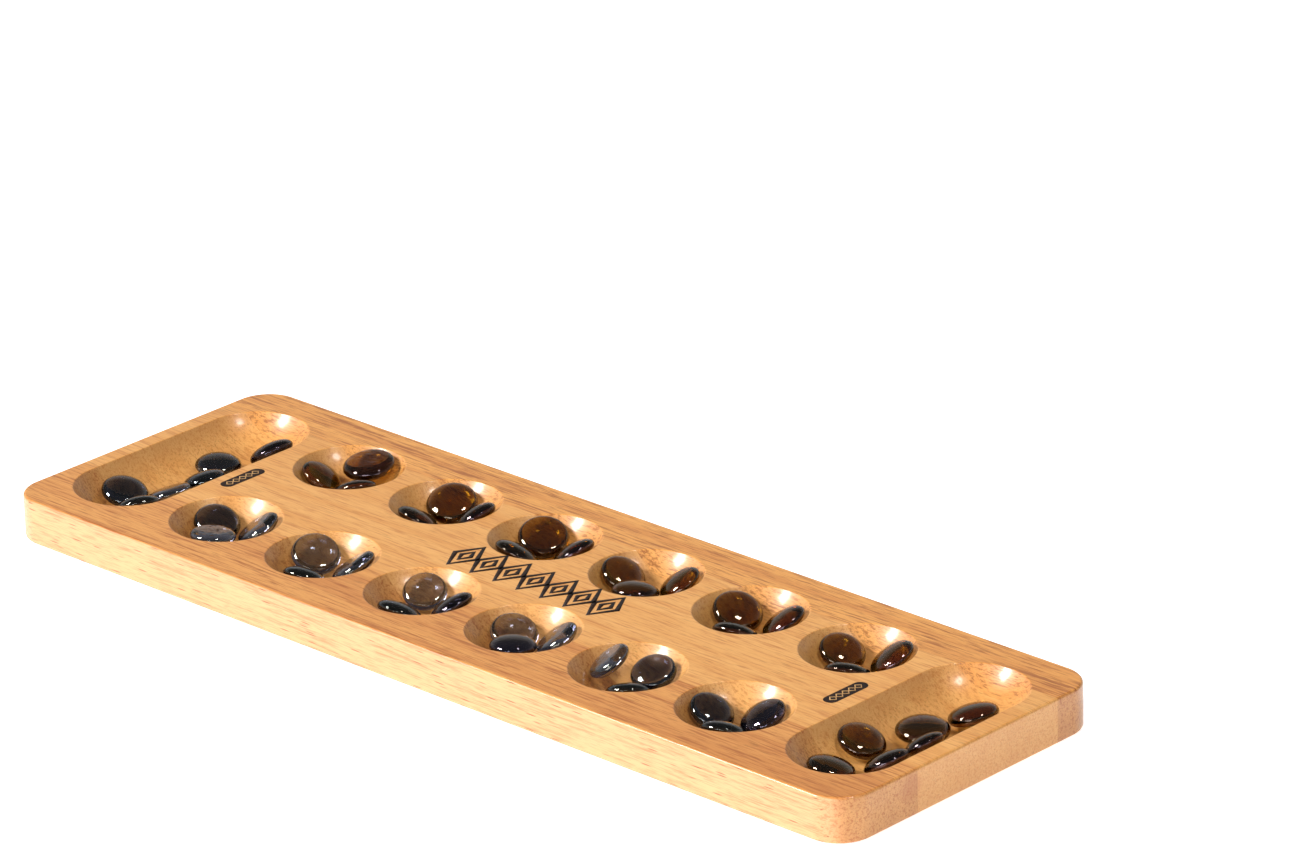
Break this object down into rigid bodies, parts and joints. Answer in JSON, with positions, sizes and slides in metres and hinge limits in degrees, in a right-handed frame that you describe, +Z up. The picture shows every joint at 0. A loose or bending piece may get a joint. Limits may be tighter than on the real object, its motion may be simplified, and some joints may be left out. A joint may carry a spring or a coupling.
{
  "type": "mancala board",
  "caption": "Wooden mancala board with rows of round pits, a long store at each end and flat-bottomed glass stones lying in its hollows.",
  "frame": {"origin": "under the middle of the board, on the surface that it lies on", "axes": "+X along the board from the left store to the right store, as the near player sees them; +Y across the board, away from the near player; +Z up, out of the pits"},
  "size_m": [0.432, 0.139, 0.0235],
  "materials": {
    "lacquered_wood": "clear satin lacquer over honey-coloured edge-glued hardwood",
    "smoke_glass": "polished smoke-grey glass with a faint violet sheen",
    "amber_glass": "polished amber-brown glass with a faint violet sheen"
  },
  "bodies": {
    "board": {"near_stave": "lacquered_wood", "middle_stave": "lacquered_wood", "far_stave": "lacquered_wood"},
    "near_pit_1_stone_1": {"near_pit_1_stone_1": "smoke_glass"},
    "near_pit_1_stone_2": {"near_pit_1_stone_2": "smoke_glass"},
    "near_pit_1_stone_3": {"near_pit_1_stone_3": "smoke_glass"},
    "near_pit_2_stone_1": {"near_pit_2_stone_1": "smoke_glass"},
    "near_pit_2_stone_2": {"near_pit_2_stone_2": "smoke_glass"},
    "near_pit_2_stone_3": {"near_pit_2_stone_3": "smoke_glass"},
    "near_pit_3_stone_1": {"near_pit_3_stone_1": "smoke_glass"},
    "near_pit_3_stone_2": {"near_pit_3_stone_2": "smoke_glass"},
    "near_pit_3_stone_3": {"near_pit_3_stone_3": "smoke_glass"},
    "near_pit_4_stone_1": {"near_pit_4_stone_1": "smoke_glass"},
    "near_pit_4_stone_2": {"near_pit_4_stone_2": "smoke_glass"},
    "near_pit_4_stone_3": {"near_pit_4_stone_3": "smoke_glass"},
    "near_pit_5_stone_1": {"near_pit_5_stone_1": "smoke_glass"},
    "near_pit_5_stone_2": {"near_pit_5_stone_2": "smoke_glass"},
    "near_pit_5_stone_3": {"near_pit_5_stone_3": "smoke_glass"},
    "near_pit_6_stone_1": {"near_pit_6_stone_1": "smoke_glass"},
    "near_pit_6_stone_2": {"near_pit_6_stone_2": "smoke_glass"},
    "near_pit_6_stone_3": {"near_pit_6_stone_3": "smoke_glass"},
    "far_pit_1_stone_1": {"far_pit_1_stone_1": "amber_glass"},
    "far_pit_1_stone_2": {"far_pit_1_stone_2": "amber_glass"},
    "far_pit_1_stone_3": {"far_pit_1_stone_3": "amber_glass"},
    "far_pit_2_stone_1": {"far_pit_2_stone_1": "amber_glass"},
    "far_pit_2_stone_2": {"far_pit_2_stone_2": "amber_glass"},
    "far_pit_2_stone_3": {"far_pit_2_stone_3": "amber_glass"},
    "far_pit_3_stone_1": {"far_pit_3_stone_1": "amber_glass"},
    "far_pit_3_stone_2": {"far_pit_3_stone_2": "amber_glass"},
    "far_pit_3_stone_3": {"far_pit_3_stone_3": "amber_glass"},
    "far_pit_4_stone_1": {"far_pit_4_stone_1": "amber_glass"},
    "far_pit_4_stone_2": {"far_pit_4_stone_2": "amber_glass"},
    "far_pit_4_stone_3": {"far_pit_4_stone_3": "amber_glass"},
    "far_pit_5_stone_1": {"far_pit_5_stone_1": "amber_glass"},
    "far_pit_5_stone_2": {"far_pit_5_stone_2": "amber_glass"},
    "far_pit_5_stone_3": {"far_pit_5_stone_3": "amber_glass"},
    "far_pit_6_stone_1": {"far_pit_6_stone_1": "amber_glass"},
    "far_pit_6_stone_2": {"far_pit_6_stone_2": "amber_glass"},
    "far_pit_6_stone_3": {"far_pit_6_stone_3": "amber_glass"},
    "left_store_stone_1": {"left_store_stone_1": "smoke_glass"},
    "left_store_stone_2": {"left_store_stone_2": "smoke_glass"},
    "left_store_stone_3": {"left_store_stone_3": "smoke_glass"},
    "left_store_stone_4": {"left_store_stone_4": "smoke_glass"},
    "left_store_stone_5": {"left_store_stone_5": "smoke_glass"},
    "left_store_stone_6": {"left_store_stone_6": "smoke_glass"},
    "right_store_stone_1": {"right_store_stone_1": "amber_glass"},
    "right_store_stone_2": {"right_store_stone_2": "amber_glass"},
    "right_store_stone_3": {"right_store_stone_3": "amber_glass"},
    "right_store_stone_4": {"right_store_stone_4": "amber_glass"},
    "right_store_stone_5": {"right_store_stone_5": "amber_glass"},
    "right_store_stone_6": {"right_store_stone_6": "amber_glass"}
  },
  "joints": [
    {"name": "lift_near_pit_1_stone_1", "type": "slide", "parent": "board", "child": "near_pit_1_stone_1", "axis": [0, 0, 1], "range_m": [0, 0.05]},
    {"name": "lift_near_pit_1_stone_2", "type": "slide", "parent": "board", "child": "near_pit_1_stone_2", "axis": [0, 0, 1], "range_m": [0, 0.05]},
    {"name": "lift_near_pit_1_stone_3", "type": "slide", "parent": "board", "child": "near_pit_1_stone_3", "axis": [0, 0, 1], "range_m": [0, 0.05]},
    {"name": "lift_near_pit_2_stone_1", "type": "slide", "parent": "board", "child": "near_pit_2_stone_1", "axis": [0, 0, 1], "range_m": [0, 0.05]},
    {"name": "lift_near_pit_2_stone_2", "type": "slide", "parent": "board", "child": "near_pit_2_stone_2", "axis": [0, 0, 1], "range_m": [0, 0.05]},
    {"name": "lift_near_pit_2_stone_3", "type": "slide", "parent": "board", "child": "near_pit_2_stone_3", "axis": [0, 0, 1], "range_m": [0, 0.05]},
    {"name": "lift_near_pit_3_stone_1", "type": "slide", "parent": "board", "child": "near_pit_3_stone_1", "axis": [0, 0, 1], "range_m": [0, 0.05]},
    {"name": "lift_near_pit_3_stone_2", "type": "slide", "parent": "board", "child": "near_pit_3_stone_2", "axis": [0, 0, 1], "range_m": [0, 0.05]},
    {"name": "lift_near_pit_3_stone_3", "type": "slide", "parent": "board", "child": "near_pit_3_stone_3", "axis": [0, 0, 1], "range_m": [0, 0.05]},
    {"name": "lift_near_pit_4_stone_1", "type": "slide", "parent": "board", "child": "near_pit_4_stone_1", "axis": [0, 0, 1], "range_m": [0, 0.05]},
    {"name": "lift_near_pit_4_stone_2", "type": "slide", "parent": "board", "child": "near_pit_4_stone_2", "axis": [0, 0, 1], "range_m": [0, 0.05]},
    {"name": "lift_near_pit_4_stone_3", "type": "slide", "parent": "board", "child": "near_pit_4_stone_3", "axis": [0, 0, 1], "range_m": [0, 0.05]},
    {"name": "lift_near_pit_5_stone_1", "type": "slide", "parent": "board", "child": "near_pit_5_stone_1", "axis": [0, 0, 1], "range_m": [0, 0.05]},
    {"name": "lift_near_pit_5_stone_2", "type": "slide", "parent": "board", "child": "near_pit_5_stone_2", "axis": [0, 0, 1], "range_m": [0, 0.05]},
    {"name": "lift_near_pit_5_stone_3", "type": "slide", "parent": "board", "child": "near_pit_5_stone_3", "axis": [0, 0, 1], "range_m": [0, 0.05]},
    {"name": "lift_near_pit_6_stone_1", "type": "slide", "parent": "board", "child": "near_pit_6_stone_1", "axis": [0, 0, 1], "range_m": [0, 0.05]},
    {"name": "lift_near_pit_6_stone_2", "type": "slide", "parent": "board", "child": "near_pit_6_stone_2", "axis": [0, 0, 1], "range_m": [0, 0.05]},
    {"name": "lift_near_pit_6_stone_3", "type": "slide", "parent": "board", "child": "near_pit_6_stone_3", "axis": [0, 0, 1], "range_m": [0, 0.05]},
    {"name": "lift_far_pit_1_stone_1", "type": "slide", "parent": "board", "child": "far_pit_1_stone_1", "axis": [0, 0, 1], "range_m": [0, 0.05]},
    {"name": "lift_far_pit_1_stone_2", "type": "slide", "parent": "board", "child": "far_pit_1_stone_2", "axis": [0, 0, 1], "range_m": [0, 0.05]},
    {"name": "lift_far_pit_1_stone_3", "type": "slide", "parent": "board", "child": "far_pit_1_stone_3", "axis": [0, 0, 1], "range_m": [0, 0.05]},
    {"name": "lift_far_pit_2_stone_1", "type": "slide", "parent": "board", "child": "far_pit_2_stone_1", "axis": [0, 0, 1], "range_m": [0, 0.05]},
    {"name": "lift_far_pit_2_stone_2", "type": "slide", "parent": "board", "child": "far_pit_2_stone_2", "axis": [0, 0, 1], "range_m": [0, 0.05]},
    {"name": "lift_far_pit_2_stone_3", "type": "slide", "parent": "board", "child": "far_pit_2_stone_3", "axis": [0, 0, 1], "range_m": [0, 0.05]},
    {"name": "lift_far_pit_3_stone_1", "type": "slide", "parent": "board", "child": "far_pit_3_stone_1", "axis": [0, 0, 1], "range_m": [0, 0.05]},
    {"name": "lift_far_pit_3_stone_2", "type": "slide", "parent": "board", "child": "far_pit_3_stone_2", "axis": [0, 0, 1], "range_m": [0, 0.05]},
    {"name": "lift_far_pit_3_stone_3", "type": "slide", "parent": "board", "child": "far_pit_3_stone_3", "axis": [0, 0, 1], "range_m": [0, 0.05]},
    {"name": "lift_far_pit_4_stone_1", "type": "slide", "parent": "board", "child": "far_pit_4_stone_1", "axis": [0, 0, 1], "range_m": [0, 0.05]},
    {"name": "lift_far_pit_4_stone_2", "type": "slide", "parent": "board", "child": "far_pit_4_stone_2", "axis": [0, 0, 1], "range_m": [0, 0.05]},
    {"name": "lift_far_pit_4_stone_3", "type": "slide", "parent": "board", "child": "far_pit_4_stone_3", "axis": [0, 0, 1], "range_m": [0, 0.05]},
    {"name": "lift_far_pit_5_stone_1", "type": "slide", "parent": "board", "child": "far_pit_5_stone_1", "axis": [0, 0, 1], "range_m": [0, 0.05]},
    {"name": "lift_far_pit_5_stone_2", "type": "slide", "parent": "board", "child": "far_pit_5_stone_2", "axis": [0, 0, 1], "range_m": [0, 0.05]},
    {"name": "lift_far_pit_5_stone_3", "type": "slide", "parent": "board", "child": "far_pit_5_stone_3", "axis": [0, 0, 1], "range_m": [0, 0.05]},
    {"name": "lift_far_pit_6_stone_1", "type": "slide", "parent": "board", "child": "far_pit_6_stone_1", "axis": [0, 0, 1], "range_m": [0, 0.05]},
    {"name": "lift_far_pit_6_stone_2", "type": "slide", "parent": "board", "child": "far_pit_6_stone_2", "axis": [0, 0, 1], "range_m": [0, 0.05]},
    {"name": "lift_far_pit_6_stone_3", "type": "slide", "parent": "board", "child": "far_pit_6_stone_3", "axis": [0, 0, 1], "range_m": [0, 0.05]},
    {"name": "lift_left_store_stone_1", "type": "slide", "parent": "board", "child": "left_store_stone_1", "axis": [0, 0, 1], "range_m": [0, 0.05]},
    {"name": "lift_left_store_stone_2", "type": "slide", "parent": "board", "child": "left_store_stone_2", "axis": [0, 0, 1], "range_m": [0, 0.05]},
    {"name": "lift_left_store_stone_3", "type": "slide", "parent": "board", "child": "left_store_stone_3", "axis": [0, 0, 1], "range_m": [0, 0.05]},
    {"name": "lift_left_store_stone_4", "type": "slide", "parent": "board", "child": "left_store_stone_4", "axis": [0, 0, 1], "range_m": [0, 0.05]},
    {"name": "lift_left_store_stone_5", "type": "slide", "parent": "board", "child": "left_store_stone_5", "axis": [0, 0, 1], "range_m": [0, 0.05]},
    {"name": "lift_left_store_stone_6", "type": "slide", "parent": "board", "child": "left_store_stone_6", "axis": [0, 0, 1], "range_m": [0, 0.05]},
    {"name": "lift_right_store_stone_1", "type": "slide", "parent": "board", "child": "right_store_stone_1", "axis": [0, 0, 1], "range_m": [0, 0.05]},
    {"name": "lift_right_store_stone_2", "type": "slide", "parent": "board", "child": "right_store_stone_2", "axis": [0, 0, 1], "range_m": [0, 0.05]},
    {"name": "lift_right_store_stone_3", "type": "slide", "parent": "board", "child": "right_store_stone_3", "axis": [0, 0, 1], "range_m": [0, 0.05]},
    {"name": "lift_right_store_stone_4", "type": "slide", "parent": "board", "child": "right_store_stone_4", "axis": [0, 0, 1], "range_m": [0, 0.05]},
    {"name": "lift_right_store_stone_5", "type": "slide", "parent": "board", "child": "right_store_stone_5", "axis": [0, 0, 1], "range_m": [0, 0.05]},
    {"name": "lift_right_store_stone_6", "type": "slide", "parent": "board", "child": "right_store_stone_6", "axis": [0, 0, 1], "range_m": [0, 0.05]}
  ]
}
